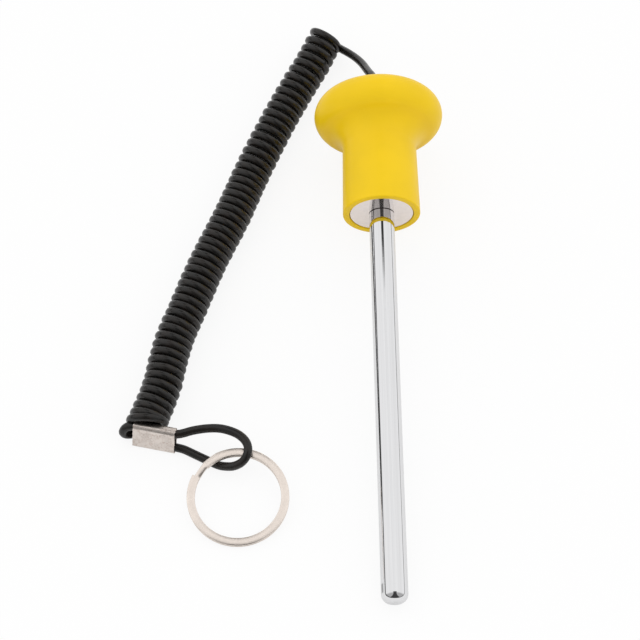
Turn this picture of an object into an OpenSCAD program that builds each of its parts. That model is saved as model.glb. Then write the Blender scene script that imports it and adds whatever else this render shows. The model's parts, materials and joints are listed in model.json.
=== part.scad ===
// Weight stack pin with a curly tether, lying on a table.
// The pin lies on its knob's flange and its tip, in the YZ plane, with the tip towards -Y.
// A knob sits on the pin's other end, a coiled cord leaves its crown, and the cord ends in a loop
// that a crimped ferrule closes and that carries a split ring.
// The origin is at the middle of the pin and knob, on the table.

/* [Pin] */
// Diameter of the steel pin
pin_d = 9.5; // [9:0.1:12]
// Length of the pin that stands out of the magnet
pin_reach = 153.5; // [80:0.5:200]
// Rounding between the side of the pin and its flat end
tip_round = 3.2; // [1:0.1:4]
// Diameter of the shank that is pressed into the knob
shank_d = 8; // [6:0.1:8.6]
// Length of the shank above the magnet
shank_hold = 18; // [8:0.5:26]
// Depth of each retaining groove round the shank
groove_depth = 0.4; // [0.2:0.1:0.8]
// Width of each retaining groove
groove_w = 1.2; // [0.6:0.1:2]
// Distance from one retaining groove to the next
groove_pitch = 4.5; // [3:0.1:6]

/* [Knob] */
// Diameter of the flange that the fingers pull on
flange_d = 49.5; // [44:0.5:60]
// Height of the flange's widest circle above the rim
flange_height = 42.9; // [40:0.1:56]
// Rounding of the flange's edge
flange_round = 7.7; // [6:0.1:9]
// Slope of the flange's underside, from the knob's axis
underside_slope = 65; // [55:1:72]
// Radius of the hollow curve from the body to the underside
throat_round = 8.5; // [6:0.1:10]
// Radius of the domed crown
crown_round = 60; // [50:1:120]
// Wall of the body at the rim, round the magnet's pocket
rim_wall = 2.15; // [1.6:0.05:3.4]
// How much narrower the body's radius is where the throat starts
body_taper = 0.45; // [0:0.05:1.2]
// Rounding of the rim's outer edge
rim_edge = 0.8; // [0.2:0.1:1]
// Rounding of the rim's inner edge
lip_edge = 0.3; // [0.1:0.1:0.6]

/* [Magnet] */
// Outer diameter of the ring magnet
magnet_d = 24; // [18:0.1:26]
// Height of the ring magnet
magnet_h = 8; // [4:0.5:12]
// Depth of the magnet's face below the rim
magnet_recess = 0.3; // [0:0.1:2]
// Bevel round the magnet's edges
magnet_bevel = 0.25; // [0.1:0.05:0.5]
// Gap between the magnet and the wall of its pocket
pocket_gap = 0.15; // [0.05:0.05:0.3]
// Gap between the magnet's bore and the shank
bore_gap = 0.1; // [0.05:0.05:0.3]

/* [Cord] */
// Diameter of the cord
cord_d = 3; // [2:0.1:3.2]
// Outer diameter of the coiled stretch
coil_d = 14.8; // [10:0.1:15]
// Gap between the cord and its hole in the crown
crown_hole_gap = 0.1; // [0.05:0.05:0.4]
// Rounding of the crown's hole
crown_hole_edge = 0.6; // [0.2:0.1:1]

/* [Cord stop] */
// Outer diameter of the sleeve crimped on the cord's end inside the knob
stop_d = 6.4; // [5:0.1:7]
// Length of that sleeve
stop_len = 7; // [4:0.5:9]
// Gap between the sleeve and its chamber
stop_gap = 0.3; // [0.1:0.1:0.5]
// Thickness of the crown over the sleeve
crown_wall = 6; // [3:0.5:9]

/* [Ferrule] */
// Length of the crimped ferrule
ferrule_len = 15.5; // [8:0.5:16]
// Thickness of its sheet
ferrule_wall = 0.5; // [0.3:0.1:0.8]
// Distance between the two strands in it
strand_gap = 6.3; // [6.3:0.1:6.6]
// Rounding of its long edges
ferrule_corner = 1.6; // [0.8:0.1:1.8]
// Angle at which it leans back
ferrule_lean = 20; // [0:1:30]

/* [Split ring] */
// Outer diameter of the ring
ring_d = 36.6; // [30:0.1:37]
// Width of its wire, seen from above
ring_wire_w = 2.9; // [2:0.1:3.2]
// Thickness of its wire
ring_wire_t = 0.9; // [0.6:0.05:1.1]
// Gap between its two turns
ring_turn_gap = 0.1; // [0.05:0.05:0.3]
// Angle over which the wire steps down from the upper turn to the lower
ring_step_angle = 18.5; // [12:0.5:30]
// Width of the wire along that step
ring_step_w = 2.2; // [1.4:0.1:2.8]
// Angle at which it lies on the cord
ring_tilt = 8.4; // [4:0.1:12]

/* [Hidden] */

$fn = 96;
// Turn along the profiles' curves from one point to the next, in degrees
arc_step = 5;

pin_r = pin_d / 2;
shank_r = shank_d / 2;
cord_r = cord_d / 2;
pocket_r = magnet_d / 2 + pocket_gap;
rim_r = pocket_r + rim_wall;
throat_r = rim_r - body_taper;
flange_r = flange_d / 2;
stop_r = stop_d / 2;

// Heights along the knob's axis, from the plane of the rim
pocket_depth = magnet_recess + magnet_h;
shank_top = pocket_depth + shank_hold;
tip_s = magnet_recess - pin_reach;
tip_flat_r = pin_r - tip_round;
flange_c = [flange_r - flange_round, flange_height];
crown_s = flange_height - sqrt(pow(crown_round - flange_round, 2) - pow(flange_c.x, 2));
crown_top = crown_s + crown_round;
crown_turn = atan2(flange_height - crown_s, flange_c.x);
throat_c = [
    throat_r + throat_round,
    flange_height - ((flange_c.x - throat_r - throat_round) * cos(underside_slope)
        + flange_round + throat_round) / sin(underside_slope)
];
hole_r = cord_r + crown_hole_gap;
hole_edge_c = [
    hole_r + crown_hole_edge,
    crown_s + sqrt(pow(crown_round, 2) - pow(hole_r + crown_hole_edge, 2)) - crown_hole_edge
];
stop_seat = crown_top - crown_wall;
chamber_r = stop_r + stop_gap;

// How the pin lies: its flange and its tip both touch the table
lie_run = flange_height - tip_s - tip_round;
lie_rise = flange_c.x - tip_flat_r;
lean = asin((flange_round - tip_round) / norm([lie_run, lie_rise])) + atan2(lie_rise, lie_run);
rim_z = flange_c.x * cos(lean) + flange_round - flange_height * sin(lean);
crown_reach = crown_s * cos(lean) + crown_round;
tip_reach = -(tip_s + tip_round) * cos(lean) + tip_flat_r * sin(lean) + tip_round;
rim_y = (tip_reach - crown_reach) / 2;

// Routes of the cord's centre line: out of the crown, along the coil's axis, and round the loop
lead_route = [
    on_axis(stop_seat - stop_len),
    on_axis(crown_top),
    on_axis(crown_top + 3),
    [-0.8, 110.4, 25],
    [-1.8, 114.6, 22.8],
    [-2.8, 118.4, 20.2],
    [-3.7, 122.4, 17.4],
    [-4.8, 126.8, 14.7],
    [-6.4, 131.3, 12],
    [-8.3, 135.4, 9.5],
    [-10.8, 139.6, 7],
    [-12.4, 142, 5.5],
    [-13.9, 144.1, 4.3]
];
coil_z = coil_d / 2;
coil_route = [
    [-17.7, 149, coil_z],
    [-19.6, 145.4, coil_z],
    [-21.3, 141.8, coil_z],
    [-24, 135.4, coil_z],
    [-27, 129.2, coil_z],
    [-30.1, 123.2, coil_z],
    [-38.6, 105.2, coil_z],
    [-48.5, 81.7, coil_z],
    [-57, 59, coil_z],
    [-66.3, 37, coil_z],
    [-73.9, 15.5, coil_z],
    [-77.7, 5, coil_z],
    [-80.2, -5.4, coil_z],
    [-82, -15.2, coil_z],
    [-83.6, -21, coil_z],
    [-86.6, -29.6, coil_z]
];
loop_route = [
    [-83.5, -29.6, 2.6],
    [-85.8, -31.6, 1.8],
    [-89, -32.5, 1.6],
    [-92.4, -33, 1.6],
    [-95, -33.8, 2.6],
    [-96.1, -34.1, 5],
    [-95, -33.7, 7.3],
    [-92.6, -33.6, 8.3],
    [-84.4, -35.4, 8.1],
    [-76.8, -37.1, 8.1],
    [-70.5, -35.9, 8.6],
    [-65.8, -35.4, 9],
    [-61.5, -35.6, 9.4],
    [-57.8, -36.7, 9.8],
    [-54.3, -38.5, 10],
    [-51.8, -41, 10],
    [-50.7, -43.8, 9.8],
    [-51.1, -46.5, 9],
    [-52.9, -48.2, 7],
    [-55.7, -48.6, 4.9],
    [-58.5, -48, 3.4],
    [-61.4, -46.9, 2.3],
    [-64.5, -45.1, 1.8],
    [-67.6, -43.4, 1.7],
    [-70.8, -41.7, 1.8],
    [-74, -40.1, 2],
    [-77.3, -39.2, 2.2],
    [-84.9, -37.5, 2.2],
    [-91, -36.1, 2.25]
];

// Place of the ferrule's middle, and the turn of its length from X
ferrule_at = [-84.6, -36.4, 5.17];
ferrule_turn = -13.05;
ferrule_h = strand_gap + cord_d + 2 * (ferrule_wall + 0.1);
ferrule_t = cord_d + 2 * ferrule_wall;

// Place of the ring's middle above the table, and the angle of its wire's visible end
ring_t = 2 * ring_wire_t + ring_turn_gap;
ring_at = [-54.4, -60.5, ring_d / 2 * sin(ring_tilt) + ring_t / 2 * cos(ring_tilt)];
ring_end_angle = 152.5;
ring_wire_bevel = 0.22;
ring_facet = 5;

// Points of an arc from one angle to another
function arc(c, r, from, to) =
    let (n = max(2, ceil(abs(to - from) / arc_step)))
    [for (i = [0:n]) let (a = from + (to - from) * i / n) [c.x + r * cos(a), c.y + r * sin(a)]];

// Point of the knob's axis at a height above the rim
function on_axis(s) = [0, rim_y + s * cos(lean), rim_z + s * sin(lean)];

function unit(v) = v / norm(v);

// Smooth curve through a route's points, in steps per stretch
function spline_point(a, b, c, d, t) =
    0.5 * (2 * b + (c - a) * t + (2 * a - 5 * b + 4 * c - d) * t * t
        + (3 * b - a - 3 * c + d) * t * t * t);
function smooth(route, steps) =
    let (n = len(route) - 1)
    concat([for (i = [0:n - 1], k = [0:steps - 1])
        spline_point(
            i == 0 ? 2 * route[0] - route[1] : route[i - 1],
            route[i],
            route[i + 1],
            i == n - 1 ? 2 * route[n] - route[n - 1] : route[i + 2],
            k / steps)], [route[n]]);

// Direction of a path at one of its points
function heading(path, i) =
    unit(path[min(i + 1, len(path) - 1)] - path[max(i - 1, 0)]);

// Sideways direction that is carried along a path without twisting
function carried(path, side, i) =
    let (h = heading(path, i))
    unit(side - h * (side * h));
function sides_along(path, first, i = 0, done = []) =
    i == len(path) ? done
    : let (s = carried(path, first, i))
        sides_along(path, s, i + 1, concat(done, [s]));

// Faces of a closed sweep of rings, with both ends capped
function sweep_faces(rings, n) = concat(
    [for (i = [0:rings - 2], k = [0:n - 1])
        let (m = (k + 1) % n)
        [i * n + k, i * n + m, (i + 1) * n + m, (i + 1) * n + k]],
    [[for (k = [n - 1:-1:0]) k]],
    [[for (k = [0:n - 1]) (rings - 1) * n + k]]);

// Round tube along a path, its first edge on the side that first points to
module tube(path, r, n, first) {
    sides = sides_along(path, first);
    points = [for (i = [0:len(path) - 1], k = [0:n - 1])
        let (a = 360 * k / n, s = sides[i])
        path[i] + r * (cos(a) * s + sin(a) * cross(s, heading(path, i)))];
    polyhedron(points, sweep_faces(len(path), n), convexity = 8);
}

// Puts what is modelled about Z, from the rim upwards, on the lying pin's axis
module on_pin() {
    translate([0, rim_y, rim_z])
        rotate([lean - 90, 0, 0])
            children();
}

// Moulded knob: magnet pocket, shank bore, chamber of the cord stop and cord hole in one revolve
module knob() {
    outline = concat(
        arc([pocket_r + lip_edge, lip_edge], lip_edge, 180, 270),
        arc([rim_r - rim_edge, rim_edge], rim_edge, -90, 0),
        arc(throat_c, throat_round, 180, 180 - underside_slope),
        arc(flange_c, flange_round, -underside_slope, crown_turn),
        [for (p = arc([0, crown_s], crown_round, crown_turn, 90)) if (p.x > hole_edge_c.x) p],
        arc(hole_edge_c, crown_hole_edge, 90, 180),
        [[hole_r, stop_seat], [chamber_r, stop_seat], [chamber_r, shank_top],
            [shank_r, shank_top], [shank_r, pocket_depth], [pocket_r, pocket_depth]]
    );
    color("gold")
        on_pin()
            rotate_extrude()
                polygon(outline);
}

// Turned steel pin: shouldered against the magnet, with grooves round its shank
module pin() {
    groove_bottom = shank_r - groove_depth;
    grooves = [for (s = [pocket_depth + groove_pitch:groove_pitch:shank_top - 2 * groove_w])
        [[shank_r, s], [groove_bottom, s], [groove_bottom, s + groove_w], [shank_r, s + groove_w]]];
    outline = concat(
        [[0, tip_s]],
        arc([tip_flat_r, tip_s + tip_round], tip_round, -90, 0),
        [[pin_r, magnet_recess], [shank_r, magnet_recess]],
        [for (g = grooves, p = g) p],
        [[shank_r, shank_top - groove_depth], [groove_bottom, shank_top], [0, shank_top]]
    );
    color("silver")
        on_pin()
            rotate_extrude()
                polygon(outline);
}

// Nickel-plated ring magnet in the rim of the knob
module magnet() {
    outer = magnet_d / 2;
    inner = shank_r + bore_gap;
    low = magnet_recess;
    high = pocket_depth;
    color("lightgray")
        on_pin()
            rotate_extrude()
                polygon([
                    [inner, low],
                    [outer - magnet_bevel, low],
                    [outer, low + magnet_bevel],
                    [outer, high - magnet_bevel],
                    [outer - magnet_bevel, high],
                    [inner, high]
                ]);
}

// Sleeve on the cord's end, seated under the crown
module cord_stop() {
    bevel = 0.4;
    low = stop_seat - stop_len;
    color("darkgray")
        on_pin()
            rotate_extrude()
                polygon([
                    [cord_r, low],
                    [stop_r - bevel, low],
                    [stop_r, low + bevel],
                    [stop_r, stop_seat - bevel],
                    [stop_r - bevel, stop_seat],
                    [cord_r, stop_seat]
                ]);
}

// Plain stretch of cord from the cord stop to the coil
module cord_lead() {
    color("dimgray")
        tube(smooth(lead_route, 2), cord_r, 8, [1, 0, 0]);
}

// Outer shape of the coiled stretch of cord
module cord_coil() {
    color("dimgray")
        tube(smooth(coil_route, 2), coil_d / 2, 16, [0, 0, -1]);
}

// Plain stretch of cord from the coil through the ferrule, round the loop and back into it
module cord_loop() {
    color("dimgray")
        tube(smooth(loop_route, 2), cord_r, 8, [0, 1, 0]);
}

// Crimped ferrule, a flat sleeve of sheet round two strands of the cord
module ferrule() {
    color("rosybrown")
        translate(ferrule_at)
            rotate([0, 0, ferrule_turn])
                rotate([-ferrule_lean, 0, 0])
                    rotate([90, 0, 90])
                        linear_extrude(ferrule_len, center = true)
                            difference() {
                                offset(r = ferrule_corner, $fn = 24)
                                    square([ferrule_t - 2 * ferrule_corner,
                                        ferrule_h - 2 * ferrule_corner], center = true);
                                hull()
                                    for (side = [-1, 1])
                                        translate([0, side * strand_gap / 2])
                                            circle(cord_r, $fn = 24);
                            }
}

// Split ring: one flat wire, wound two turns, that steps down past its own end
module split_ring() {
    step_start = 360 - ring_step_angle;
    turn_length = 360 + step_start;
    // Share of the step that is behind a given angle along the wire
    function stepped(a) =
        let (x = min(1, max(0, (a - step_start) / ring_step_angle)))
        x * x * (3 - 2 * x);
    function narrowed(a) =
        (ring_wire_w - ring_step_w) * sin(180 * min(1, max(0,
            (a - step_start + ring_step_angle) / (3 * ring_step_angle))));
    drop = ring_wire_t + ring_turn_gap;
    inner = ring_d / 2 - ring_wire_w;
    angles = [for (i = [0:turn_length / ring_facet]) i * turn_length / floor(turn_length / ring_facet)];
    b = ring_wire_bevel;
    points = [for (a = angles)
        let (
            z = drop / 2 - drop * stepped(a),
            lo = z - ring_wire_t / 2,
            hi = z + ring_wire_t / 2,
            outer = inner + ring_wire_w - narrowed(a),
            turn = ring_end_angle + a
        )
        for (p = [[inner + b, lo], [outer - b, lo], [outer, lo + b], [outer, hi - b],
            [outer - b, hi], [inner + b, hi], [inner, hi - b], [inner, lo + b]])
            [p.x * cos(turn), p.x * sin(turn), p.y]];
    color("silver")
        translate(ring_at)
            rotate([ring_tilt, 0, 0])
                polyhedron(points, sweep_faces(len(angles), 8), convexity = 8);
}

knob();
pin();
magnet();
cord_stop();
cord_lead();
cord_coil();
cord_loop();
ferrule();
split_ring();
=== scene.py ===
"""Dresses the weight stack pin: turned and moulded pieces, the curly cord, the ring and the stage."""

import json
import math

import bmesh
import bpy
from bpy.props import (
    FloatProperty,
    FloatVectorProperty,
    IntProperty,
    PointerProperty,
)
from mathutils import Matrix, Vector


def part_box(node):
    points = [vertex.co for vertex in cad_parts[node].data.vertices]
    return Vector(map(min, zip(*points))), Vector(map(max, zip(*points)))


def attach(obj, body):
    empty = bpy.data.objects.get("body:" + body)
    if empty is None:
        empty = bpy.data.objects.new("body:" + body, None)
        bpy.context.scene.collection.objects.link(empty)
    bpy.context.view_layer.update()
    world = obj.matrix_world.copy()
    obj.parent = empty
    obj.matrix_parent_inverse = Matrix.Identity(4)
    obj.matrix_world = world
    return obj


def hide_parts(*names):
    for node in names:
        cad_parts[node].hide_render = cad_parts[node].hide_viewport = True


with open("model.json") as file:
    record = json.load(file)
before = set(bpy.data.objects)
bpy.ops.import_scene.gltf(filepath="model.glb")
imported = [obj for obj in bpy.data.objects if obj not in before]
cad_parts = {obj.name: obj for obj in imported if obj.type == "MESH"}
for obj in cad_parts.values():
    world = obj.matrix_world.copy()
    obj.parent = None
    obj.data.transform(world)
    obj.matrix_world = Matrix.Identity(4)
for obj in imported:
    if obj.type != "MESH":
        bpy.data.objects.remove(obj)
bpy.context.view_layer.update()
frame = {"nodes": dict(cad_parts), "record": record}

bl_info = {
    "name": "Weight Stack Pin",
    "version": (1, 0, 0),
    "blender": (4, 5, 0),
    "location": "View3D > Sidebar > Stack Pin",
    "description": "Builds the visible pieces of a magnetic weight stack pin on its tether",
    "category": "Object",
}

MM = 0.001
ROOT = "pin_and_cord"
RING_BODY = "ring"
MOUNTS = {mount["name"]: mount for mount in frame["record"]["mounts"]}

# The lying pin's axis: Z runs from the plane of the knob's rim towards its crown
TO_CROWN = -Vector(MOUNTS["pin"]["axis"]).normalized()
PIN_WALL = MOUNTS["pin"]["dims"]["length_mm"] * MM
MAGNET_FACE = Vector(MOUNTS["pin"]["pos_m"]) + TO_CROWN * (PIN_WALL / 2)
LEAN = math.atan2(TO_CROWN.z, TO_CROWN.y)

# Where the cord leaves the crown, and how far in the cord stop's foot the cord ends
CROWN_MOUTH_Y = 102.7 * MM
END_IN_STOP = 0.4 * MM

# A nick in the chrome, on the left near the tip: its place, half its length and width, and the
# height over which it fades out downwards
NICK_AT = Vector((-0.0043, -0.0983, 0.0065))
NICK_LENGTH = 1.9 * MM
NICK_WIDTH = 0.45 * MM
NICK_FADE = 1.0 * MM

# The cord's listed points, in metres, as in the part's source
LEAD_ROUTE = [
    (0, 0.1057, 0.0261),
    (-0.0008, 0.1104, 0.025),
    (-0.0018, 0.1146, 0.0228),
    (-0.0028, 0.1184, 0.0202),
    (-0.0037, 0.1224, 0.0174),
    (-0.0048, 0.1268, 0.0147),
    (-0.0064, 0.1313, 0.012),
    (-0.0083, 0.1354, 0.0095),
    (-0.0108, 0.1396, 0.007),
    (-0.0124, 0.142, 0.0055),
    (-0.0139, 0.1441, 0.0043),
    (-0.016, 0.1464, 0.0026),
    (-0.0186, 0.1486, 0.0017),
]
COIL_ROUTE = [
    (-0.0177, 0.149, 0.0074),
    (-0.0196, 0.1454, 0.0074),
    (-0.0213, 0.1418, 0.0074),
    (-0.024, 0.1354, 0.0074),
    (-0.027, 0.1292, 0.0074),
    (-0.0301, 0.1232, 0.0074),
    (-0.0386, 0.1052, 0.0074),
    (-0.0485, 0.0817, 0.0074),
    (-0.057, 0.059, 0.0074),
    (-0.0663, 0.037, 0.0074),
    (-0.0739, 0.0155, 0.0074),
    (-0.0777, 0.005, 0.0074),
    (-0.0802, -0.0054, 0.0074),
    (-0.082, -0.0152, 0.0074),
    (-0.0836, -0.021, 0.0074),
    (-0.0866, -0.0296, 0.0074),
    (-0.0889, -0.0354, 0.0074),
]
LOOP_ROUTE = [
    (-0.0858, -0.0316, 0.0018),
    (-0.089, -0.0325, 0.0016),
    (-0.0924, -0.033, 0.0016),
    (-0.095, -0.0338, 0.0026),
    (-0.0961, -0.0341, 0.005),
    (-0.095, -0.0337, 0.0073),
    (-0.0926, -0.0336, 0.0083),
    (-0.0844, -0.0354, 0.0081),
    (-0.0768, -0.0371, 0.0081),
    (-0.0705, -0.0359, 0.0086),
    (-0.0658, -0.0354, 0.009),
    (-0.0615, -0.0356, 0.0094),
    (-0.0578, -0.0367, 0.0098),
    (-0.0543, -0.0385, 0.01),
    (-0.0518, -0.041, 0.01),
    (-0.0507, -0.0438, 0.0098),
    (-0.0511, -0.0465, 0.009),
    (-0.0529, -0.0482, 0.007),
    (-0.0557, -0.0486, 0.0049),
    (-0.0585, -0.048, 0.0034),
    (-0.0614, -0.0469, 0.0023),
    (-0.0645, -0.0451, 0.0018),
    (-0.0676, -0.0434, 0.0017),
    (-0.0708, -0.0417, 0.0018),
    (-0.074, -0.0401, 0.002),
    (-0.0773, -0.0392, 0.0022),
    (-0.0849, -0.0375, 0.0022),
    (-0.091, -0.0361, 0.00225),
]


def length(name, text, mm):
    """A length property, given in millimetres and kept in metres."""
    return FloatProperty(
        name=name,
        description=text,
        default=mm * MM,
        min=0.0,
        precision=5,
        unit="LENGTH",
        subtype="DISTANCE",
    )


def angle(name, text, degrees):
    """An angle property, given in degrees."""
    return FloatProperty(
        name=name,
        description=text,
        default=math.radians(degrees),
        unit="ROTATION",
        subtype="ANGLE",
    )


def share(name, text, value):
    """A property between 0 and 1."""
    return FloatProperty(
        name=name, description=text, default=value, min=0.0, max=1.0, subtype="FACTOR"
    )


def colour(name, text, rgb):
    """A colour property in linear light."""
    return FloatVectorProperty(
        name=name, description=text, default=rgb, min=0.0, max=1.0, subtype="COLOR"
    )


class KnobSizes(bpy.types.PropertyGroup):
    """Sizes of the moulded knob and of the magnet in its rim."""

    flange_d: length("Flange", "Diameter of the flange", 49.5)
    flange_height: length("Flange height", "Height of the widest circle above the rim", 43.2)
    flange_round: length("Flange edge", "Rounding of the flange's edge", 7.1)
    underside_slope: angle("Underside", "Slope of the underside from the axis", 68)
    throat_round: length("Throat", "Radius of the hollow under the flange", 8.5)
    crown_round: length("Crown", "Radius of the domed crown", 60)
    rim_d: length("Rim", "Diameter of the body at the rim", 29.3)
    throat_d: length("Throat diameter", "Diameter of the body at the throat", 28.3)
    rim_edge: length("Rim edge", "Rounding of the rim's outer edge", 0.5)
    lip_edge: length("Lip edge", "Rounding of the rim's inner edge", 0.3)
    hole_edge: length("Hole edge", "Rounding of the crown's hole", 0.6)
    hole_gap: length("Hole gap", "Gap between the cord and the crown's hole", 0.1)
    magnet_d: length("Magnet", "Diameter of the ring magnet", 24)
    magnet_h: length("Magnet height", "Height of the ring magnet", 8)
    magnet_recess: length("Recess", "Depth of the magnet's face below the rim", 0.3)
    magnet_bevel: length("Magnet bevel", "Bevel round the magnet's edges", 0.25)
    pocket_gap: length("Pocket gap", "Gap between the magnet and its pocket", 0.15)
    bore_gap: length("Bore gap", "Gap between the magnet and the shank through it", 0.1)


class PinSizes(bpy.types.PropertyGroup):
    """Sizes of the turned pin."""

    tip_round: length("Tip rounding", "Rounding between the side and the flat end", 3.2)
    seam_w: length("Seam", "Width of the dark seam between the pin and the magnet", 0.24)
    seam_depth: length("Seam depth", "Depth of that seam", 0.12)
    shank_d: length("Shank", "Diameter of the shank inside the knob", 8)
    shank_hold: length("Shank length", "Length of the shank above the magnet", 18)


class CordSizes(bpy.types.PropertyGroup):
    """Sizes of the curly cord and of its coil."""

    cord_d: length("Cord", "Diameter of the cord", 3.2)
    coil_d: length("Coil", "Outer diameter of the coil", 14.8)
    pitch: length("Pitch", "Distance between turns along most of the coil", 3.42)
    loose_pitch: length("Loose pitch", "Further distance between turns near the knob", 0.6)
    loose_run: length("Loose run", "Length of the looser stretch near the knob", 76)
    loose_fade: length("Loose fade", "Length over which the looser stretch ends", 10)
    first_pitch: length("First pitch", "Yet further distance at the first turn", 0.7)
    first_fade: length("First fade", "Length over which the first turn's spread ends", 6)
    first_at: length("First place", "Where the first turn starts along the coil's axis", 1.9)
    first_turn: angle("First turn", "Angle round the coil at which the first turn starts", 225)
    uneven: length("Unevenness", "How far the turns stray from their places", 0.12)
    lean: angle("Lean", "How far the first turns tip towards the ferrule", 20)
    end_lean: angle("End lean", "How far the turns near the ferrule tip towards it", 8)
    pressed: angle("Pressed", "How far the ferrule presses the last turn back", 30)
    turns: FloatProperty(name="Turns", description="Turns of the coil", default=53.75, min=2.0)
    turn_points: IntProperty(
        name="Points a turn", description="Points of the line in one turn", default=20, min=12
    )


class HardwareSizes(bpy.types.PropertyGroup):
    """Sizes of the crimped ferrule and of the split ring."""

    ferrule_len: length("Ferrule length", "Length of the crimped ferrule", 15.5)
    ferrule_h: length("Ferrule height", "Height of the ferrule across both strands", 10.5)
    ferrule_t: length("Ferrule thickness", "Thickness of the ferrule", 4)
    ferrule_wall: length("Sheet", "Thickness of the ferrule's sheet", 0.5)
    ferrule_corner: length("Ferrule edges", "Rounding of the ferrule's long edges", 1.6)
    ferrule_ragged: length("Cut end", "How far the ferrule's cut end strays", 0.22)
    ferrule_wavy: length("Other end", "How far the ferrule's other end strays", 0.08)
    ferrule_crimp: length("Crimps", "Depth of the crimps in the ferrule's faces", 0.05)
    ferrule_turn: angle("Ferrule turn", "Turn of the ferrule's length from X", -13.05)
    ferrule_lean: angle("Ferrule lean", "Angle at which the ferrule leans back", 20)
    ring_d: length("Ring", "Outer diameter of the split ring", 36.6)
    ring_wire_w: length("Wire width", "Width of the ring's wire", 2.9)
    ring_wire_t: length("Wire thickness", "Thickness of the ring's wire", 0.9)
    ring_wire_edge: length("Wire edges", "Rounding of the wire's edges", 0.26)
    ring_turn_gap: length("Turn gap", "Gap between the ring's turns", 0.1)
    ring_step_angle: angle("Step", "Angle over which the wire steps down", 18.5)
    ring_step_w: length("Step width", "Width of the wire along the step", 2.2)
    ring_end_angle: angle("Wire's end", "Where the wire's visible end lies", 152.5)
    ring_tilt: angle("Ring tilt", "Angle at which the ring lies on the cord", 8.4)


class Finishes(bpy.types.PropertyGroup):
    """Colours of the finishes."""

    yellow: colour("Knob", "Moulded plastic of the knob", (0.83, 0.55, 0.003))
    chrome: colour("Pin", "Chrome of the pin", (0.76, 0.76, 0.77))
    nickel: colour("Magnet", "Nickel plate of the magnet", (0.86, 0.79, 0.76))
    cord: colour("Cord", "Plastic of the cord", (0.0085, 0.0082, 0.0076))
    ferrule: colour("Ferrule", "Sheet of the ferrule", (0.74, 0.67, 0.62))
    ring: colour("Ring", "Plated steel of the ring", (0.88, 0.79, 0.72))
    sleeve: colour("Cord stop", "Sleeve inside the knob", (0.45, 0.45, 0.45))


class StageSettings(bpy.types.PropertyGroup):
    """Camera, light and floor."""

    camera_at: FloatVectorProperty(
        name="Camera",
        description="Place of the camera",
        default=(-0.0309, -0.3945, 0.6565),
        unit="LENGTH",
        subtype="TRANSLATION",
    )
    camera_turn: angle("Camera turn", "Turn of the camera to the right of +Y", 0.98)
    camera_drop: angle("Camera drop", "Angle at which the camera looks down", 58)
    lens: FloatProperty(name="Lens", description="Focal length", default=115.3, unit="CAMERA")
    sky: FloatProperty(name="Sky", description="Strength of the room's light", default=1.22)
    contrast: share("Contrast", "How far the dark parts of the room tell in its soft light", 0.25)
    front: share("Front", "How much dimmer the room is in front", 0.5)
    opening: share("Opening", "Brightness of the room's dark opening in front", 0.12)
    patch: share("Patch", "Brightness of the dark patch behind the top", 0.04)
    horizon: share("Horizon", "Brightness of the room's foot", 0.2)
    floor: share("Floor", "Grey of the floor", 0.85)
    paper: share("Paper white", "How far the camera sees the floor as white paper", 0.88)
    mirrored_paper: share("Mirrored white", "How far metal mirrors the floor as white paper", 0.3)


class StackPinSettings(bpy.types.PropertyGroup):
    """All the settings of the part."""

    knob: PointerProperty(type=KnobSizes)
    pin: PointerProperty(type=PinSizes)
    cord: PointerProperty(type=CordSizes)
    hardware: PointerProperty(type=HardwareSizes)
    finish: PointerProperty(type=Finishes)
    stage: PointerProperty(type=StageSettings)


def fill(tree, slot, value):
    """Links a value to a node's socket, or sets the socket to a number or colour."""
    if isinstance(value, Value):
        tree.links.new(value.socket, slot)
    else:
        slot.default_value = value


class Value:
    """A shader socket that adds Math nodes when it meets Python's operators."""

    def __init__(self, tree, socket):
        self.tree = tree
        self.socket = socket

    def math(self, operation, *others):
        """Adds a Math node whose first input is this socket."""
        node = self.tree.nodes.new("ShaderNodeMath")
        node.operation = operation
        for slot, value in zip(node.inputs, (self, *others)):
            fill(self.tree, slot, value)
        return Value(self.tree, node.outputs[0])

    def __add__(self, other):
        return self.math("ADD", other)

    def __sub__(self, other):
        return self.math("SUBTRACT", other)

    def __mul__(self, other):
        return self.math("MULTIPLY", other)

    def __rsub__(self, other):
        return (self * -1.0).math("ADD", other)

    __radd__ = __add__
    __rmul__ = __mul__

    def clamped(self, low, high):
        """Keeps the value between two bounds."""
        return self.math("MAXIMUM", low).math("MINIMUM", high)


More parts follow.
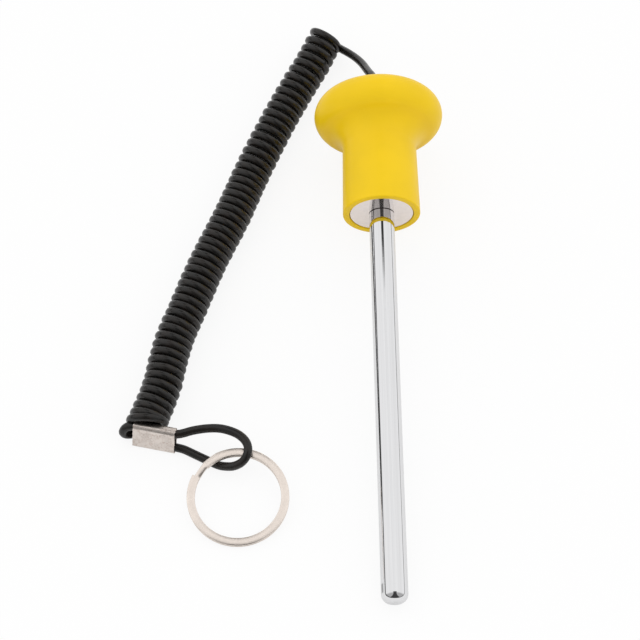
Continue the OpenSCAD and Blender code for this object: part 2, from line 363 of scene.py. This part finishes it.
class Shading:
    """The node tree of a material or of the world, with one way to add a node."""

    def __init__(self, tree):
        self.tree = tree
        self.tree.nodes.clear()

    def node(self, kind, settings=None, *in_order, outputs=(), **sockets):
        """Adds a node: its settings, then its sockets in order or by name.

        Gives the node's first output, or the outputs named.
        """
        node = self.tree.nodes.new(kind)
        for name, value in (settings or {}).items():
            setattr(node, name, value)
        slots = [slot for slot in node.inputs if slot.enabled]
        for slot, value in zip(slots, in_order):
            fill(self.tree, slot, value)
        named = {slot.name.replace(" ", "_"): slot for slot in slots}
        for name, value in sockets.items():
            fill(self.tree, named[name], value)
        given = {slot.name: Value(self.tree, slot) for slot in node.outputs if slot.enabled}
        if outputs:
            return [given[name] for name in outputs]
        return next(iter(given.values()), None)

    def noise(self, where, scale, detail=3.0, roughness=0.5):
        """Soft random patches, around 0.5."""
        return self.node(
            "ShaderNodeTexNoise",
            Vector=where,
            Scale=scale,
            Detail=detail,
            Roughness=roughness,
        )

    def spread(self, value, low, high):
        """Stretches the range from low to high over 0 to 1."""
        return ((value - low) * (1.0 / (high - low))).clamped(0.0, 1.0)

    def blend(self, factor, first, second):
        """Mixes two colours."""
        return self.node("ShaderNodeMix", {"data_type": "RGBA"}, Factor=factor, A=first, B=second)

    def mix(self, factor, first, second):
        """Mixes two shaders."""
        return self.node("ShaderNodeMixShader", None, factor, first, second)

    def split(self, vector):
        """A vector's X, Y and Z."""
        return self.node("ShaderNodeSeparateXYZ", Vector=vector, outputs=("X", "Y", "Z"))

    def seen_by(self):
        """Whether a camera, glossy or transmission ray looks."""
        kinds = ("Is Camera Ray", "Is Glossy Ray", "Is Transmission Ray")
        return self.node("ShaderNodeLightPath", outputs=kinds)

    def turned_place(self, turn=(0.0, 0.0, 0.0), scale=(1.0, 1.0, 1.0)):
        """Object coordinates, turned and then stretched."""
        turned = self.node("ShaderNodeMapping", Vector=self.object_place(), Rotation=turn)
        return self.node("ShaderNodeMapping", Vector=turned, Scale=scale)

    def object_place(self):
        """Object coordinates."""
        return self.node("ShaderNodeTexCoord", outputs=["Object"])[0]

    def bump(self, height, strength, distance):
        """A normal that follows small heights."""
        return self.node("ShaderNodeBump", Height=height, Strength=strength, Distance=distance)

    def surface(self, **sockets):
        """Ends a material with a Principled shader."""
        shader = self.node("ShaderNodeBsdfPrincipled", **sockets)
        self.node("ShaderNodeOutputMaterial", Surface=shader)


def material(name):
    """A new material and its empty node tree."""
    made = bpy.data.materials.new(name)
    made.use_nodes = True
    return made, Shading(made.node_tree)


def rgba(rgb, factor=1.0):
    """A colour times a factor, with an alpha of 1."""
    return tuple(min(1.0, c * factor) for c in rgb) + (1.0,)


def yellow_plastic(rgb):
    """Satin moulded plastic with a faint cloudiness and a fine moulded grain."""
    made, shading = material("yellow_plastic")
    where = shading.turned_place()
    cloud = shading.noise(where, 70.0, 3.0)
    grain = shading.noise(where, 2600.0, 2.0)
    scuffs = shading.spread(shading.noise(where, 420.0, 5.0, 0.65), 0.60, 0.72)
    shading.surface(
        Base_Color=shading.blend(shading.spread(cloud, 0.35, 0.65), rgba(rgb, 0.97), rgba(rgb, 1.02)),
        Roughness=scuffs * 0.08 + 0.36 + cloud * 0.06,
        IOR=1.32,
        Normal=shading.bump(grain + scuffs * -0.6, 0.08, 0.0001),
    )
    return made


def polished_chrome(rgb):
    """Chrome with fine drawn marks along the pin and a few rubs round it."""
    made, shading = material("polished_chrome")
    drawn = shading.noise(shading.turned_place((-LEAN, 0, 0), (1, 0.012, 1)), 2600.0, 4.0, 0.6)
    rubs = shading.noise(shading.turned_place((-LEAN, 0, 0), (0.25, 1, 0.25)), 900.0, 3.0, 0.6)
    rubbed = shading.spread(rubs, 0.58, 0.72)
    x, y, z = shading.split(shading.object_place())
    along = (y - NICK_AT.y).math("ABSOLUTE")
    beside = (x - NICK_AT.x).math("ABSOLUTE")
    nick = shading.spread(along, NICK_LENGTH, NICK_LENGTH - 0.5 * MM)
    nick = nick * shading.spread(beside, NICK_WIDTH, NICK_WIDTH - 0.25 * MM)
    nick = nick * shading.spread(z, NICK_AT.z - NICK_FADE, NICK_AT.z)
    chrome = shading.blend(shading.spread(drawn, 0.3, 0.7), rgba(rgb, 0.965), rgba(rgb, 1.02))
    shading.surface(
        Base_Color=shading.blend(nick, chrome, rgba(rgb, 0.45)),
        Metallic=1.0,
        Roughness=drawn * 0.03 + rubbed * 0.05 + 0.015,
        Normal=shading.bump(drawn + rubbed * 0.3, 0.07, 0.00004),
    )
    return made


def dark_seam():
    """Painted shade in the seam between the pin and the magnet: a near-black, faintly mottled colour where
    the gap lies in shade.
    """
    made, shading = material("dark_seam")
    seam_shade_mottle = shading.noise(shading.turned_place(), 900.0, 3.0)
    shading.surface(
        Base_Color=shading.blend(seam_shade_mottle, (0.010, 0.007, 0.006, 1.0), (0.05, 0.035, 0.03, 1.0)),
        Roughness=0.8,
    )
    return made


def bright_nickel(rgb):
    """Nickel plate with a soft mottle."""
    made, shading = material("bright_nickel")
    where = shading.turned_place()
    mottle = shading.noise(where, 500.0, 4.0, 0.6)
    shading.surface(
        Base_Color=shading.blend(shading.spread(mottle, 0.3, 0.7), rgba(rgb, 0.96), rgba(rgb, 1.02)),
        Metallic=1.0,
        Roughness=mottle * 0.08 + 0.06,
        Normal=shading.bump(mottle, 0.05, 0.00005),
    )
    return made


def cord_plastic(rgb):
    """Black extruded plastic: satin, with a slight waviness, dull patches and a brownish cast."""
    made, shading = material("cord_plastic")
    where = shading.turned_place()
    dull = shading.noise(where, 320.0, 4.0, 0.6)
    skin = shading.noise(where, 1500.0, 3.0)
    warm = (rgb[0] * 1.5, rgb[1] * 1.15, rgb[2])
    shading.surface(
        Base_Color=shading.blend(shading.spread(dull, 0.4, 0.65), rgba(rgb), rgba(warm)),
        Roughness=shading.spread(dull, 0.3, 0.7) * 0.12 + 0.22,
        IOR=1.42,
        Normal=shading.bump(skin + dull * 0.5, 0.10, 0.00012),
    )
    return made


def crimped_sheet(rgb):
    """Dull pinkish plated sheet, crazed and pitted by the crimping tool."""
    made, shading = material("crimped_sheet")
    where = shading.turned_place()
    pits = shading.noise(where, 900.0, 5.0, 0.7)
    stain = shading.spread(shading.noise(where, 330.0, 4.0, 0.65), 0.35, 0.62)
    veins = (shading.noise(where, 420.0, 3.0, 0.6) - 0.5).math("ABSOLUTE")
    vein = shading.spread(veins, 0.022, 0.004)
    sheet = shading.blend(stain, rgba(rgb, 0.90), rgba(rgb, 1.05))
    shading.surface(
        Base_Color=shading.blend(vein * 0.5, sheet, (0.42, 0.30, 0.24, 1.0)),
        Metallic=1.0,
        Roughness=pits * 0.16 + 0.26,
        Normal=shading.bump(pits - vein * 0.4, 0.4, 0.00014),
    )
    return made


def plated_wire(rgb):
    """Plated spring steel with soft scratches and a warm cast."""
    made, shading = material("plated_wire")
    where = shading.turned_place()
    mottle = shading.noise(where, 330.0, 4.0, 0.6)
    scratch = shading.noise(shading.turned_place((0, 0, 0.6), (1, 0.08, 1)), 1500.0, 3.0, 0.6)
    shading.surface(
        Base_Color=shading.blend(shading.spread(mottle, 0.3, 0.7), rgba(rgb, 0.93), rgba(rgb, 1.03)),
        Metallic=1.0,
        Roughness=mottle * 0.12 + scratch * 0.06 + 0.16,
        Normal=shading.bump(scratch, 0.08, 0.00005),
    )
    return made


def dull_sleeve(rgb):
    """The sleeve inside the knob, plain crimped aluminium."""
    made, shading = material("dull_sleeve")
    pits = shading.noise(shading.turned_place(), 900.0, 3.0)
    shading.surface(
        Base_Color=rgba(rgb),
        Metallic=1.0,
        Roughness=pits * 0.2 + 0.3,
        Normal=shading.bump(pits, 0.2, 0.0001),
    )
    return made


def finished_piece(name, mesh_source, surface, smooth_below=35.0):
    """Makes a piece of a bmesh, smooth up to an angle, with its material."""
    mesh = bpy.data.meshes.new(name)
    mesh_source.to_mesh(mesh)
    mesh_source.free()
    mesh.materials.append(surface)
    mesh.shade_smooth()
    mesh.set_sharp_from_angle(angle=math.radians(smooth_below))
    piece = bpy.data.objects.new(name, mesh)
    bpy.context.scene.collection.objects.link(piece)
    return piece


def settle(piece, body, slot, *nodes):
    """Rides a piece on its body, in place of its CAD nodes."""
    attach(piece, body)
    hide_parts(*nodes)


def on_axis(y):
    """Point of the pin's axis at a place along Y."""
    return MAGNET_FACE + TO_CROWN * ((y - MAGNET_FACE.y) / TO_CROWN.y)


def rim_centre():
    """Point of the pin's axis in the plane of the knob's rim."""
    return MAGNET_FACE - TO_CROWN * bpy.context.scene.stack_pin.knob.magnet_recess


class Section:
    """Half section of a turned piece, drawn with cuts and curves, then turned about Z."""

    def __init__(self, radius, height):
        self.bm = bmesh.new()
        self.last = self.bm.verts.new((radius, 0.0, height))

    def cut(self, radius, height):
        """Draws a straight line to a point."""
        made = bmesh.ops.extrude_vert_indiv(self.bm, verts=[self.last])
        self.last = made["verts"][0]
        self.last.co = (radius, 0.0, height)

    def curve(self, radius, height, turn, steps):
        """Draws an arc about a centre, anticlockwise for a positive turn."""
        made = bmesh.ops.spin(
            self.bm,
            geom=[self.last],
            cent=(radius, 0.0, height),
            axis=(0.0, -1.0, 0.0),
            angle=turn,
            steps=steps,
            use_merge=False,
            use_duplicate=False,
        )
        self.last = next(g for g in made["geom_last"] if isinstance(g, bmesh.types.BMVert))

    def turned(self, steps):
        """Turns the section about Z and lays the piece on the pin's axis."""
        bmesh.ops.spin(
            self.bm,
            geom=self.bm.verts[:] + self.bm.edges[:],
            cent=(0.0, 0.0, 0.0),
            axis=(0.0, 0.0, 1.0),
            angle=2.0 * math.pi,
            steps=steps,
            use_merge=True,
            use_duplicate=False,
        )
        bmesh.ops.remove_doubles(self.bm, verts=self.bm.verts[:], dist=1e-6)
        bmesh.ops.recalc_face_normals(self.bm, faces=self.bm.faces[:])
        onto_axis = Matrix.Translation(rim_centre()) @ Matrix.Rotation(LEAN - math.pi / 2, 4, "X")
        bmesh.ops.transform(self.bm, matrix=onto_axis, verts=self.bm.verts[:])
        return self.bm


def smooth_route(route, steps):
    """Smooth line through a route's points."""
    points = [Vector(p) for p in route]
    padded = [2 * points[0] - points[1], *points, 2 * points[-1] - points[-2]]
    line = []
    for a, b, c, d in zip(padded, padded[1:], padded[2:], padded[3:]):
        for step in range(steps):
            t = step / steps
            line.append(
                0.5
                * (
                    2 * b
                    + (c - a) * t
                    + (2 * a - 5 * b + 4 * c - d) * t**2
                    + (3 * b - a - 3 * c + d) * t**3
                )
            )
    return line + [points[-1]]


def run_of(line):
    """Length from a line's start to each of its points."""
    run = [0.0]
    for here, there in zip(line, line[1:]):
        run.append(run[-1] + (there - here).length)
    return run


def at_run(line, run, distance):
    """Point and heading of a line at a distance from its start."""
    index = next((i for i, r in enumerate(run[1:]) if r >= distance), len(line) - 2)
    part = (distance - run[index]) / (run[index + 1] - run[index])
    before = line[max(index - 1, 0)]
    after = line[min(index + 2, len(line) - 1)]
    return line[index].lerp(line[index + 1], part), (after - before).normalized()


def coil_turns(sizes):
    """The left-handed helix along the coil's axis, looser near the knob."""
    line = smooth_route(COIL_ROUTE, 12)
    run = run_of(line)
    radius = (sizes.coil_d - sizes.cord_d) / 2
    up = Vector((0.0, 0.0, 1.0))
    points = []
    place = sizes.first_at
    for point in range(round(sizes.turns * sizes.turn_points) + 1):
        turned = point / sizes.turn_points
        done = turned / sizes.turns
        middle, heading = at_run(line, run, place)
        side = up.cross(heading).normalized()
        turn = sizes.first_turn - 2.0 * math.pi * turned
        stray = sizes.uneven * math.sin(2.39 * turned + math.sin(1.7 * turned))
        lean = sizes.lean + (sizes.end_lean - sizes.lean) * done
        pressed = sizes.pressed * math.exp(turned - sizes.turns)
        across = (radius + 0.5 * stray) * math.cos(turn)
        high = radius * math.sin(turn)
        ahead = high * math.tan(lean) - (radius + across) * math.tan(pressed)
        ahead += stray * math.sin(turn) ** 2
        points.append(middle + side * across + heading * ahead + up * high)
        tight = min(max((place - sizes.loose_run) / sizes.loose_fade + 0.5, 0.0), 1.0)
        pitch = sizes.pitch + sizes.loose_pitch * (1.0 - tight)
        pitch += sizes.first_pitch * math.exp((sizes.first_at - place) / sizes.first_fade)
        place += pitch / sizes.turn_points
    return points


class STACKPIN_OT_stage(bpy.types.Operator):
    """Sets up the camera, the room's light and the floor."""

    bl_idname = "stackpin.stage"
    bl_label = "Stage"

    def execute(self, context):
        settings = context.scene.stack_pin.stage
        self.set_camera(context, settings)
        self.set_sky(context, settings)
        self.set_floor(context, settings)
        context.scene.view_settings.view_transform = "Standard"
        return {"FINISHED"}

    def set_camera(self, context, settings):
        """The photo's view."""
        data = bpy.data.cameras.new("camera")
        data.lens = settings.lens
        data.sensor_width = 36.0
        camera = bpy.data.objects.new("camera", data)
        camera.location = settings.camera_at
        camera.rotation_euler = (math.pi / 2 - settings.camera_drop, 0.0, -settings.camera_turn)
        context.scene.collection.objects.link(camera)
        context.scene.camera = camera

    def set_sky(self, context, settings):
        """A bright room with a dim foot, a dimmer front with a dark opening, and a dark patch behind."""
        world = bpy.data.worlds.new("sky")
        world.use_nodes = True
        context.scene.world = world
        shading = Shading(world.node_tree)
        direction = shading.node("ShaderNodeTexCoord")
        x, y, z = shading.split(direction)
        across = x.math("ABSOLUTE")
        ragged = (shading.noise(direction, 14.0, 4.0, 0.6) - 0.5) * 0.08
        # The room is dimmer in front, towards -Y
        front = shading.spread(y * -1.0, 0.12, 0.40)
        # The dark opening in front, narrower higher up, has a ragged edge
        wide = (0.8 - z).math("MAXIMUM", 0.0) * 0.42 + 0.24
        mouth = shading.spread(wide - across + ragged, -0.03, 0.03)
        mouth = mouth * shading.spread(y * -1.0, 0.02, 0.08) * shading.spread(z, 0.02, 0.08)
        # The dark patch lies high up behind the part
        patch = shading.spread(y + ragged, 0.35, 0.375) * shading.spread(across + ragged, 0.19, 0.14)
        patch = patch * shading.spread(z, 0.5, 0.7)
        # The room's foot ends a little above the horizon, and lower on the right
        reach = x * -0.03 + 0.145
        foot = shading.spread(z - reach, 0.0, -0.03)
        # Faint panels stand side by side along X
        panels = shading.node("ShaderNodeMapping", Vector=direction, Scale=(1.0, 0.06, 0.06))
        room = (1.0 - front * settings.front) * (shading.noise(panels, 9.0, 3.0) * 0.24 + 0.88)
        room = room * (1.0 - mouth * (1.0 - settings.opening))
        room = room * (1.0 - patch * (1.0 - settings.patch))
        room = room * (1.0 - foot * (1.0 - (x * 0.13 + settings.horizon)))
        soft = 1.0 - (1.0 - room) * settings.contrast
        bright = rgba((1.0, 1.0, 1.0))
        camera, glossy, clear = shading.seen_by()
        mirrored = 1.0 - (1.0 - room) * (1.0 - camera)
        white = shading.node("ShaderNodeBackground", Color=bright, Strength=mirrored)
        even = shading.node("ShaderNodeBackground", Color=bright, Strength=soft * settings.sky)
        seen = camera.math("MAXIMUM", glossy).math("MAXIMUM", clear)
        shading.node("ShaderNodeOutputWorld", Surface=shading.mix(seen, even, white))

    def set_floor(self, context, settings):
        """A sheet of paper that the camera sees almost white, and that keeps the part's shadow."""
        surface, shading = material("paper")
        camera, glossy, clear = shading.seen_by()
        seen = camera * settings.paper + glossy.math("MAXIMUM", clear) * settings.mirrored_paper
        lit = shading.node("ShaderNodeBsdfDiffuse", Color=rgba((settings.floor,) * 3))
        paper = shading.node("ShaderNodeEmission")
        shading.node("ShaderNodeOutputMaterial", Surface=shading.mix(seen, lit, paper))
        bm = bmesh.new()
        bmesh.ops.create_grid(bm, x_segments=1, y_segments=1, size=3.0)
        finished_piece("floor", bm, surface)


class STACKPIN_OT_cord(bpy.types.Operator):
    """Lays the cord: from the cord stop through the crown, along the coil and round the loop."""

    bl_idname = "stackpin.cord"
    bl_label = "Cord"

    def execute(self, context):
        settings = context.scene.stack_pin
        sizes = settings.cord
        inside = on_axis(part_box("cord_stop")[0].y + END_IN_STOP)
        leaves = on_axis(CROWN_MOUTH_Y)
        turns = coil_turns(sizes)
        lead = smooth_route([inside, leaves, *LEAD_ROUTE, turns[0]], 4)
        loop = smooth_route([turns[-1], *LOOP_ROUTE[1:]], 4)
        points = lead + turns[1:] + loop[1:]
        for point in points:
            point.z = max(point.z, sizes.cord_d / 2)
        data = bpy.data.curves.new("tether_cord", "CURVE")
        data.dimensions = "3D"
        data.bevel_depth = sizes.cord_d / 2
        data.bevel_resolution = 4
        data.use_fill_caps = True
        data.twist_mode = "MINIMUM"
        spline = data.splines.new("POLY")
        spline.points.add(len(points) - 1)
        for point, place in zip(spline.points, points):
            point.co = (*place, 1.0)
        spline.use_smooth = True
        data.materials.append(cord_plastic(settings.finish.cord))
        cord = bpy.data.objects.new("tether_cord", data)
        context.scene.collection.objects.link(cord)
        settle(cord, ROOT, "cord_plastic", "cord_lead", "cord_coil", "cord_loop")
        run_of(points)[-1]
        return {"FINISHED"}


class STACKPIN_OT_knob(bpy.types.Operator):
    """Turns the knob's section: magnet pocket, body, throat, flange, crown and cord hole."""

    bl_idname = "stackpin.knob"
    bl_label = "Knob"

    def execute(self, context):
        settings = context.scene.stack_pin
        knob, pin, cord = settings.knob, settings.pin, settings.cord
        pocket = knob.magnet_d / 2 + knob.pocket_gap
        depth = knob.magnet_recess + knob.magnet_h
        rim, throat = knob.rim_d / 2, knob.throat_d / 2
        flange_r = knob.flange_d / 2 - knob.flange_round
        slope = knob.underside_slope
        hollow_r = throat + knob.throat_round
        hollow_z = knob.flange_height - (
            (flange_r - hollow_r) * math.cos(slope) + knob.flange_round + knob.throat_round
        ) / math.sin(slope)
        dome_z = knob.flange_height - math.sqrt(
            (knob.crown_round - knob.flange_round) ** 2 - flange_r**2
        )
        dome_turn = math.atan2(knob.flange_height - dome_z, flange_r)
        hole = cord.cord_d / 2 + knob.hole_gap
        mouth = math.acos((hole + knob.hole_edge) / knob.crown_round)
        section = Section(pocket, knob.lip_edge)
        section.curve(pocket + knob.lip_edge, knob.lip_edge, math.pi / 2, 4)
        section.cut(rim - knob.rim_edge, 0.0)
        section.curve(rim - knob.rim_edge, knob.rim_edge, math.pi / 2, 8)
        section.cut(throat, hollow_z)
        section.curve(hollow_r, hollow_z, -slope, 20)
        section.cut(
            flange_r + knob.flange_round * math.cos(slope),
            knob.flange_height - knob.flange_round * math.sin(slope),
        )
        section.curve(flange_r, knob.flange_height, slope + dome_turn, 40)
        section.curve(0.0, dome_z, mouth - dome_turn, 14)
        mouth_z = dome_z + knob.crown_round * math.sin(mouth)
        section.curve(hole + knob.hole_edge, mouth_z - knob.hole_edge, math.pi / 2, 6)
        section.cut(hole, depth + pin.shank_hold)
        section.cut(pin.shank_d / 2, depth + pin.shank_hold)
        section.cut(pin.shank_d / 2, depth)
        section.cut(pocket, depth)
        section.cut(pocket, knob.lip_edge)
        piece = finished_piece("grip_knob", section.turned(128), yellow_plastic(settings.finish.yellow), 50)
        settle(piece, ROOT, "yellow_plastic", "knob")
        return {"FINISHED"}


class STACKPIN_OT_pin(bpy.types.Operator):
    """Turns the pin: shank, foot, long straight side and rounded tip."""

    bl_idname = "stackpin.pin"
    bl_label = "Pin"

    def execute(self, context):
        settings = context.scene.stack_pin
        knob, pin = settings.knob, settings.pin
        radius = MOUNTS["pin"]["dims"]["r_mm"] * MM
        face = knob.magnet_recess
        straight_end = face - PIN_WALL
        shank_top = knob.magnet_recess + knob.magnet_h + pin.shank_hold
        seam_foot = face - pin.seam_w
        seam_r = radius - pin.seam_depth
        section = Section(0.0, straight_end - pin.tip_round)
        section.cut(radius - pin.tip_round, straight_end - pin.tip_round)
        section.curve(radius - pin.tip_round, straight_end, math.pi / 2, 16)
        section.cut(radius, seam_foot)
        section.cut(seam_r, seam_foot)
        section.cut(seam_r, face)
        section.cut(pin.shank_d / 2, face)
        section.cut(pin.shank_d / 2, shank_top)
        section.cut(0.0, shank_top)
        bm = section.turned(96)
        for side in bm.faces:
            offset = side.calc_center_median() - rim_centre()
            height = offset.dot(TO_CROWN)
            off_axis = (offset - TO_CROWN * height).length
            # Faces inside the seam take the second material, a painted shade
            if seam_foot < height < face and off_axis < (radius + seam_r) / 2:
                side.material_index = 1
        piece = finished_piece("steel_pin", bm, polished_chrome(settings.finish.chrome))
        piece.data.materials.append(dark_seam())
        settle(piece, ROOT, "chromed_steel", "pin")
        return {"FINISHED"}


class STACKPIN_OT_magnet(bpy.types.Operator):
    """Turns the ring magnet in the knob's rim."""

    bl_idname = "stackpin.magnet"
    bl_label = "Magnet"

    def execute(self, context):
        settings = context.scene.stack_pin
        knob = settings.knob
        outer = knob.magnet_d / 2
        inner = settings.pin.shank_d / 2 + knob.bore_gap
        low, high = knob.magnet_recess, knob.magnet_recess + knob.magnet_h
        bevel = knob.magnet_bevel
        section = Section(inner, low)
        section.cut(outer - bevel, low)
        section.curve(outer - bevel, low + bevel, math.pi / 2, 4)
        section.cut(outer, high - bevel)
        section.curve(outer - bevel, high - bevel, math.pi / 2, 4)
        section.cut(inner, high)
        section.cut(inner, low)
        piece = finished_piece("ring_magnet", section.turned(96), bright_nickel(settings.finish.nickel))
        settle(piece, ROOT, "nickel_plate", "magnet")
        return {"FINISHED"}


class STACKPIN_OT_cord_stop(bpy.types.Operator):
    """Finishes the sleeve inside the knob, which keeps its CAD shape."""

    bl_idname = "stackpin.cord_stop"
    bl_label = "Cord stop"

    def execute(self, context):
        node = frame["nodes"]["cord_stop"]
        node.data.materials.clear()
        node.data.materials.append(dull_sleeve(context.scene.stack_pin.finish.sleeve))
        return {"FINISHED"}


class STACKPIN_OT_ferrule(bpy.types.Operator):
    """Folds the ferrule: a flat sleeve of sheet with a ragged end."""

    bl_idname = "stackpin.ferrule"
    bl_label = "Ferrule"

    def execute(self, context):
        settings = context.scene.stack_pin
        sizes = settings.hardware
        long, thick, high = sizes.ferrule_len, sizes.ferrule_t, sizes.ferrule_h
        bm = bmesh.new()
        bmesh.ops.create_cube(bm, size=1.0)
        bmesh.ops.scale(bm, vec=(long, thick, high), verts=bm.verts[:])
        ends = [f for f in bm.faces if abs(f.normal.x) > 0.5]
        bmesh.ops.delete(bm, geom=ends, context="FACES_ONLY")
        long_edges = [e for e in bm.edges if abs(e.verts[0].co.x - e.verts[1].co.x) > long / 2]
        bmesh.ops.bevel(
            bm,
            geom=long_edges,
            offset=sizes.ferrule_corner,
            offset_type="OFFSET",
            segments=8,
            profile=0.5,
            affect="EDGES",
            material=-1,
        )
        around = [e for e in bm.edges if abs(e.verts[0].co.x - e.verts[1].co.x) > long / 2]
        bmesh.ops.subdivide_edges(bm, edges=around, cuts=24, use_grid_fill=True)
        upright = [e for e in bm.edges if abs(e.verts[0].co.z - e.verts[1].co.z) > high / 2]
        bmesh.ops.subdivide_edges(bm, edges=upright, cuts=14, use_grid_fill=True)
        self.ruffle(bm, sizes)
        bmesh.ops.recalc_face_normals(bm, faces=bm.faces[:])
        bmesh.ops.solidify(bm, geom=bm.faces[:], thickness=sizes.ferrule_wall)
        bmesh.ops.recalc_face_normals(bm, faces=bm.faces[:])
        low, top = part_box("ferrule")
        place = (
            Matrix.Translation((low + top) / 2)
            @ Matrix.Rotation(sizes.ferrule_turn, 4, "Z")
            @ Matrix.Rotation(-sizes.ferrule_lean, 4, "X")
        )
        bmesh.ops.transform(bm, matrix=place, verts=bm.verts[:])
        piece = finished_piece("crimped_ferrule", bm, crimped_sheet(settings.finish.ferrule))
        settle(piece, ROOT, "ferrule_metal", "ferrule")
        return {"FINISHED"}

    def ruffle(self, bm, sizes):
        """Roughens both ends and presses two shallow crimps into each face."""
        for vert in bm.verts:
            along = vert.co.x / sizes.ferrule_len
            up = vert.co.z / sizes.ferrule_h
            if along > 0.49:
                vert.co.x += sizes.ferrule_ragged * math.sin(up * 61.0) * math.cos(vert.co.y * 9000)
            if along < -0.49:
                vert.co.x += sizes.ferrule_wavy * math.sin(up * 37.0)
            press = sum(math.exp(-(((along - place) / 0.05) ** 2)) for place in (0.02, -0.3))
            inward = -sizes.ferrule_crimp * press * math.cos(math.pi * up)
            vert.co.y += math.copysign(inward, vert.co.y)


class STACKPIN_OT_split_ring(bpy.types.Operator):
    """Winds the split ring: one flat wire, two turns, stepping down past its own end."""

    bl_idname = "stackpin.split_ring"
    bl_label = "Split ring"

    def execute(self, context):
        settings = context.scene.stack_pin
        sizes = settings.hardware
        outer = sizes.ring_d / 2
        inner = outer - sizes.ring_wire_w
        half = sizes.ring_wire_t / 2
        drop = sizes.ring_wire_t + sizes.ring_turn_gap
        bm = bmesh.new()
        corners = [(inner, -half), (outer, -half), (outer, half), (inner, half)]
        verts = [bm.verts.new((r, 0.0, z + drop / 2)) for r, z in corners]
        face = bm.faces.new(verts)
        bmesh.ops.bevel(
            bm,
            geom=verts,
            offset=sizes.ring_wire_edge,
            offset_type="OFFSET",
            segments=3,
            profile=0.5,
            affect="VERTICES",
            material=-1,
        )
        step = sizes.ring_step_angle
        plain = 2 * math.pi - 2 * step
        plain_steps, step_steps = 104, 36
        self.tip = bm.faces[:]
        self.wind(bm, plain, plain_steps, 0.0)
        for k in range(step_steps):
            here, there = 3 * k / step_steps - 1, 3 * (k + 1) / step_steps - 1
            fall = drop * (self.ease(there) - self.ease(here))
            self.wind(bm, 3 * step / step_steps, 1, -fall)
            narrow = (sizes.ring_wire_w - sizes.ring_step_w) * math.sin(math.pi * (there + 1) / 3)
            self.set_width(bm, inner, outer - narrow)
        self.wind(bm, plain, plain_steps, 0.0)
        bmesh.ops.recalc_face_normals(bm, faces=bm.faces[:])
        bmesh.ops.rotate(
            bm,
            cent=(0.0, 0.0, 0.0),
            matrix=Matrix.Rotation(sizes.ring_end_angle, 3, "Z"),
            verts=bm.verts[:],
        )
        low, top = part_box("split_ring")
        tilt = Matrix.Translation((low + top) / 2) @ Matrix.Rotation(sizes.ring_tilt, 4, "X")
        bmesh.ops.transform(bm, matrix=tilt, verts=bm.verts[:])
        piece = finished_piece("split_ring_wire", bm, plated_wire(settings.finish.ring), 40)
        settle(piece, RING_BODY, "ring_steel", "split_ring")
        return {"FINISHED"}

    def ease(self, x):
        """Goes from 0 to 1 with a soft start and end."""
        x = min(max(x, 0.0), 1.0)
        return x * x * (3.0 - 2.0 * x)

    def set_width(self, bm, inner, outer):
        """Stretches the wire's end face from its inner to a new outer radius."""
        verts = {v for f in self.tip for v in f.verts}
        widest = max(v.co.xy.length for v in verts)
        for vert in verts:
            radius = vert.co.xy.length
            wanted = inner + (radius - inner) * (outer - inner) / (widest - inner)
            vert.co.x *= wanted / radius
            vert.co.y *= wanted / radius

    def wind(self, bm, turn, steps, rise):
        """Carries the wire's end face round Z."""
        edges = {e for f in self.tip for e in f.edges}
        verts = {v for f in self.tip for v in f.verts}
        made = bmesh.ops.spin(
            bm,
            geom=[*verts, *edges, *self.tip],
            cent=(0.0, 0.0, 0.0),
            axis=(0.0, 0.0, 1.0),
            dvec=(0.0, 0.0, rise / steps),
            angle=turn,
            steps=steps,
            use_merge=False,
            use_duplicate=False,
        )
        self.tip = [g for g in made["geom_last"] if isinstance(g, bmesh.types.BMFace)]


class STACKPIN_PT_panel(bpy.types.Panel):
    """Lists the part's operators."""

    bl_label = "Stack Pin"
    bl_idname = "STACKPIN_PT_panel"
    bl_space_type = "VIEW_3D"
    bl_region_type = "UI"
    bl_category = "Stack Pin"

    def draw(self, context):
        for operator in OPERATORS:
            self.layout.operator(operator.bl_idname)


OPERATORS = (
    STACKPIN_OT_stage,
    STACKPIN_OT_ferrule,
    STACKPIN_OT_split_ring,
    STACKPIN_OT_cord,
    STACKPIN_OT_knob,
    STACKPIN_OT_pin,
    STACKPIN_OT_magnet,
    STACKPIN_OT_cord_stop,
)
CLASSES = (
    KnobSizes,
    PinSizes,
    CordSizes,
    HardwareSizes,
    Finishes,
    StageSettings,
    StackPinSettings,
    *OPERATORS,
    STACKPIN_PT_panel,
)


def register():
    for made in CLASSES:
        bpy.utils.register_class(made)
    bpy.types.Scene.stack_pin = PointerProperty(type=StackPinSettings)


def unregister():
    del bpy.types.Scene.stack_pin
    for made in reversed(CLASSES):
        bpy.utils.unregister_class(made)


def main():
    register()
    bpy.ops.stackpin.stage()
    bpy.ops.stackpin.ferrule()
    bpy.ops.stackpin.split_ring()
    bpy.ops.stackpin.cord()
    bpy.ops.stackpin.knob()
    bpy.ops.stackpin.pin()
    bpy.ops.stackpin.magnet()
    bpy.ops.stackpin.cord_stop()
    bpy.context.view_layer.update()


if __name__ == "__main__":
    main()
